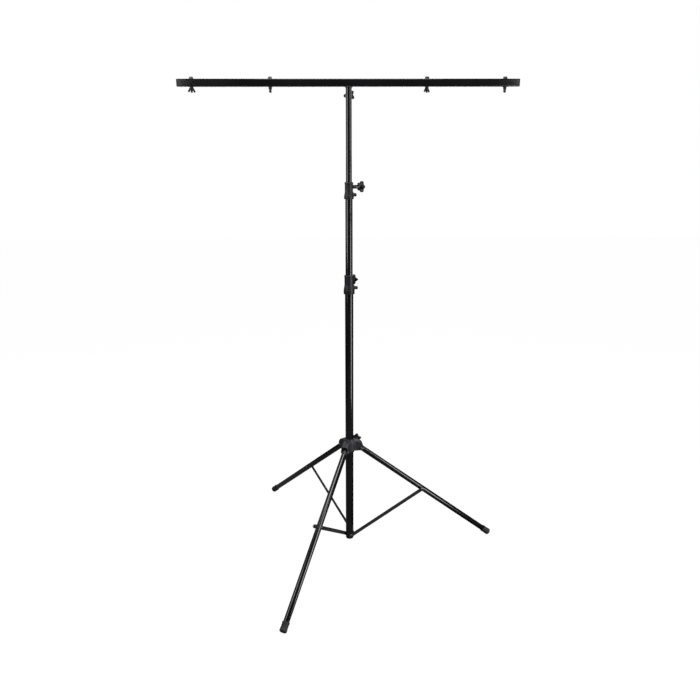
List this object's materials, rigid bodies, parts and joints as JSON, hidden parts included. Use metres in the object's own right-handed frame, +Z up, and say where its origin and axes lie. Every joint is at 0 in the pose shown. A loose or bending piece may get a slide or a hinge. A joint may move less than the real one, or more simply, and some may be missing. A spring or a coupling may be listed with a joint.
{
  "type": "light stand",
  "caption": "T-bar lighting stand: folding tripod base with a sliding hub, three-section telescoping mast, and a square crossbar with hanging bolts and wing nuts for lamps.",
  "frame": {"origin": "on the floor, under the middle of the stand's outline; the mast axis stands at x -0.0053, y 0.0365 m", "axes": "+Z up along the mast, +X along the crossbar to its right end, -Y the front as pictured"},
  "size_m": [1.2106, 1.0624, 1.8467],
  "materials": {
    "black_paint": "satin black powder coat",
    "dark_plastic": "fine matt moulding",
    "knob_plastic": "black moulding, slightly glossy",
    "rubber": "matt",
    "blackened_steel": "black zinc"
  },
  "bodies": {
    "mast": {"lower_tube": "black_paint", "base_fitting": "dark_plastic", "lower_collar": "dark_plastic", "lower_collar_bush": "dark_plastic", "lower_collar_screw": "knob_plastic", "base_pivot_screw_right": "blackened_steel", "base_pivot_screw_back": "blackened_steel", "base_pivot_screw_front": "blackened_steel"},
    "mid_mast": {"mid_tube": "black_paint", "mid_tube_plug": "dark_plastic", "upper_collar": "dark_plastic", "upper_collar_bush": "dark_plastic", "upper_collar_screw": "knob_plastic"},
    "top_mast": {"upper_tube": "black_paint", "upper_tube_plug": "dark_plastic"},
    "crossbar": {"cross_bar": "black_paint", "bar_spigot": "black_paint", "end_cap_left": "knob_plastic", "end_cap_right": "knob_plastic", "hanging_bolt_1": "blackened_steel", "hanging_bolt_2": "blackened_steel", "hanging_bolt_3": "blackened_steel", "hanging_bolt_4": "blackened_steel"},
    "hub": {"hub": "dark_plastic", "hub_bush": "dark_plastic", "leg_pivot_pin_right": "blackened_steel", "leg_pivot_pin_back": "blackened_steel", "leg_pivot_pin_front": "blackened_steel"},
    "wing_nut_1": {"wing_nut_1": "blackened_steel"},
    "wing_nut_2": {"wing_nut_2": "blackened_steel"},
    "wing_nut_3": {"wing_nut_3": "blackened_steel"},
    "wing_nut_4": {"wing_nut_4": "blackened_steel"},
    "lower_knob": {"lower_knob_star": "knob_plastic", "lower_knob_stud": "blackened_steel"},
    "upper_knob": {"upper_knob_star": "knob_plastic", "upper_knob_stud": "blackened_steel"},
    "hub_knob": {"hub_knob_star": "knob_plastic", "hub_knob_stud": "blackened_steel"},
    "bar_knob": {"bar_knob_star": "knob_plastic", "bar_knob_stud": "blackened_steel"},
    "leg_right": {"leg_tube_right": "black_paint", "leg_top_right": "dark_plastic", "foot_right": "rubber", "leg_joint_pin_right": "blackened_steel"},
    "strut_right": {"strut_right": "black_paint", "strut_nut_right": "blackened_steel"},
    "leg_back": {"leg_tube_back": "black_paint", "leg_top_back": "dark_plastic", "foot_back": "rubber", "leg_joint_pin_back": "blackened_steel"},
    "strut_back": {"strut_back": "black_paint", "strut_nut_back": "blackened_steel"},
    "leg_front": {"leg_tube_front": "black_paint", "leg_top_front": "dark_plastic", "foot_front": "rubber", "leg_joint_pin_front": "blackened_steel"},
    "strut_front": {"strut_front": "black_paint", "strut_nut_front": "blackened_steel"}
  },
  "joints": [
    {"name": "mid_mast_slide", "type": "slide", "parent": "mast", "child": "mid_mast", "axis": [0, 0, 1], "range_m": [-0.279, 0.56]},
    {"name": "top_mast_slide", "type": "slide", "parent": "mid_mast", "child": "top_mast", "axis": [0, 0, 1], "range_m": [-0.292, 0.56]},
    {"name": "crossbar_turn", "type": "hinge", "parent": "top_mast", "child": "crossbar", "pos_m": [-0.00531, 0.03651, 1.8268], "axis": [0, 0, 1], "continuous": true},
    {"name": "hub_slide", "type": "slide", "parent": "mast", "child": "hub", "axis": [0, 0, 1], "range_m": [0, 0.28586]},
    {"name": "leg_right_fold", "type": "hinge", "parent": "hub", "child": "leg_right", "pos_m": [0.04035, 0.04211, 0.44241], "axis": [-0.1219, 0.9925, 0], "range_deg": [0, 52.3]},
    {"name": "leg_back_fold", "type": "hinge", "parent": "hub", "child": "leg_back", "pos_m": [-0.03299, 0.07324, 0.44241], "axis": [-0.7986, -0.6018, 0], "range_deg": [0, 52.3]},
    {"name": "leg_front_fold", "type": "hinge", "parent": "hub", "child": "leg_front", "pos_m": [-0.02328, -0.00584, 0.44241], "axis": [0.9205, -0.3907, 0], "range_deg": [0, 52.3]},
    {"name": "strut_right_fold", "type": "hinge", "parent": "mast", "child": "strut_right", "pos_m": [-0.00233, 0.03687, 0.05], "axis": [0.1219, -0.9925, 0], "range_deg": [0, 50.1]},
    {"name": "strut_back_fold", "type": "hinge", "parent": "mast", "child": "strut_back", "pos_m": [-0.00711, 0.0389, 0.05], "axis": [0.7986, 0.6018, 0], "range_deg": [0, 50.1]},
    {"name": "strut_front_fold", "type": "hinge", "parent": "mast", "child": "strut_front", "pos_m": [-0.00648, 0.03374, 0.05], "axis": [-0.9205, 0.3907, 0], "range_deg": [0, 50.1]},
    {"name": "lower_knob_turn", "type": "hinge", "parent": "mast", "child": "lower_knob", "pos_m": [-0.00531, 0.03651, 1.1235], "axis": [0.2756, 0.9613, 0], "continuous": true},
    {"name": "upper_knob_turn", "type": "hinge", "parent": "mid_mast", "child": "upper_knob", "pos_m": [-0.00531, 0.03651, 1.472], "axis": [0.848, 0.5299, 0], "continuous": true},
    {"name": "hub_knob_turn", "type": "hinge", "parent": "hub", "child": "hub_knob", "pos_m": [-0.00531, 0.03651, 0.45591], "axis": [0.4147, 0.91, 0], "continuous": true},
    {"name": "bar_knob_turn", "type": "hinge", "parent": "top_mast", "child": "bar_knob", "pos_m": [-0.00531, 0.03651, 1.7902], "axis": [0.0523, 0.9986, 0], "continuous": true},
    {"name": "wing_nut_1_turn", "type": "hinge", "parent": "crossbar", "child": "wing_nut_1", "pos_m": [-0.55531, 0.03651, 1.814], "axis": [0, 0, 1], "continuous": true},
    {"name": "wing_nut_2_turn", "type": "hinge", "parent": "crossbar", "child": "wing_nut_2", "pos_m": [-0.28031, 0.03651, 1.814], "axis": [0, 0, 1], "continuous": true},
    {"name": "wing_nut_3_turn", "type": "hinge", "parent": "crossbar", "child": "wing_nut_3", "pos_m": [0.26969, 0.03651, 1.814], "axis": [0, 0, 1], "continuous": true},
    {"name": "wing_nut_4_turn", "type": "hinge", "parent": "crossbar", "child": "wing_nut_4", "pos_m": [0.54469, 0.03651, 1.814], "axis": [0, 0, 1], "continuous": true}
  ],
  "couplings": [
    {"joint": "leg_right_fold", "follows": "hub_slide", "rad_per_m": 3.1932},
    {"joint": "leg_back_fold", "follows": "hub_slide", "rad_per_m": 3.1932},
    {"joint": "leg_front_fold", "follows": "hub_slide", "rad_per_m": 3.1932},
    {"joint": "strut_right_fold", "follows": "hub_slide", "rad_per_m": 3.0587},
    {"joint": "strut_back_fold", "follows": "hub_slide", "rad_per_m": 3.0587},
    {"joint": "strut_front_fold", "follows": "hub_slide", "rad_per_m": 3.0587}
  ]
}
